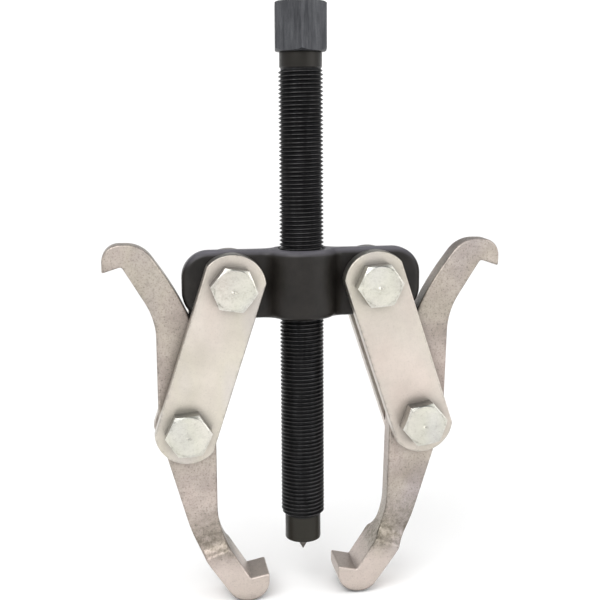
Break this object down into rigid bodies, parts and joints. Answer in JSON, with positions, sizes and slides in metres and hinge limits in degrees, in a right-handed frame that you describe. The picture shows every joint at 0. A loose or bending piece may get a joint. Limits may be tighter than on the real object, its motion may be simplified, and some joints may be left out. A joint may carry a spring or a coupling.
{
  "type": "gear puller",
  "caption": "Reversible two-jaw gear puller: hooked jaws on pairs of flat links, pivoted on a cross arm that carries a hex-headed forcing screw with a live centre.",
  "frame": {"origin": "centre of the flat end of the screw's nose, on the screw's axis", "axes": "+Z along the screw towards its hex head, +X towards the right jaw with the bolt heads in front, +Y to the back, where the lock nuts are"},
  "size_m": [0.1413, 0.039, 0.2122],
  "materials": {
    "black_forging": "satin black",
    "black_screw": "black oxide, oiled",
    "hardened_point": "hardened steel",
    "zinc_forging": "zinc-plated forging",
    "zinc_strap": "zinc-plated strap",
    "zinc_fastener": "bright zinc",
    "nylon": "natural nylon"
  },
  "bodies": {
    "cross_arm": {"cross_arm": "black_forging"},
    "screw_slide": {"centre_point": "hardened_point"},
    "forcing_screw": {"forcing_screw": "black_screw"},
    "links_left": {"link_front_left": "zinc_strap", "link_rear_left": "zinc_strap", "bolt_upper_left": "zinc_fastener", "lock_nut_upper_left": "zinc_fastener", "nylon_insert_upper_left": "nylon", "bolt_lower_left": "zinc_fastener", "lock_nut_lower_left": "zinc_fastener", "nylon_insert_lower_left": "nylon"},
    "jaw_left": {"jaw_left": "zinc_forging"},
    "links_right": {"link_front_right": "zinc_strap", "link_rear_right": "zinc_strap", "bolt_upper_right": "zinc_fastener", "lock_nut_upper_right": "zinc_fastener", "nylon_insert_upper_right": "nylon", "bolt_lower_right": "zinc_fastener", "lock_nut_lower_right": "zinc_fastener", "nylon_insert_lower_right": "nylon"},
    "jaw_right": {"jaw_right": "zinc_forging"}
  },
  "joints": [
    {"name": "screw_travel", "type": "slide", "parent": "cross_arm", "child": "screw_slide", "axis": [0, 0, 1], "range_m": [-0.0675, 0.0705]},
    {"name": "screw_turn", "type": "hinge", "parent": "screw_slide", "child": "forcing_screw", "pos_m": [0, 0, 0], "axis": [0, 0, 1], "range_deg": [-17223, 17989]},
    {"name": "link_swing_left", "type": "hinge", "parent": "cross_arm", "child": "links_left", "pos_m": [-0.0254, 0, 0.0954], "axis": [0, 1, 0], "range_deg": [-1, 65]},
    {"name": "jaw_swing_left", "type": "hinge", "parent": "links_left", "child": "jaw_left", "pos_m": [-0.04187, 0, 0.04502], "axis": [0, 1, 0], "range_deg": [-3, 0.7]},
    {"name": "link_swing_right", "type": "hinge", "parent": "cross_arm", "child": "links_right", "pos_m": [0.0254, 0, 0.0954], "axis": [0, -1, 0], "range_deg": [-1, 65]},
    {"name": "jaw_swing_right", "type": "hinge", "parent": "links_right", "child": "jaw_right", "pos_m": [0.04187, 0, 0.04502], "axis": [0, -1, 0], "range_deg": [-1.3, 2.4]}
  ],
  "couplings": [
    {"joint": "screw_turn", "follows": "screw_travel", "rad_per_m": 4453}
  ]
}
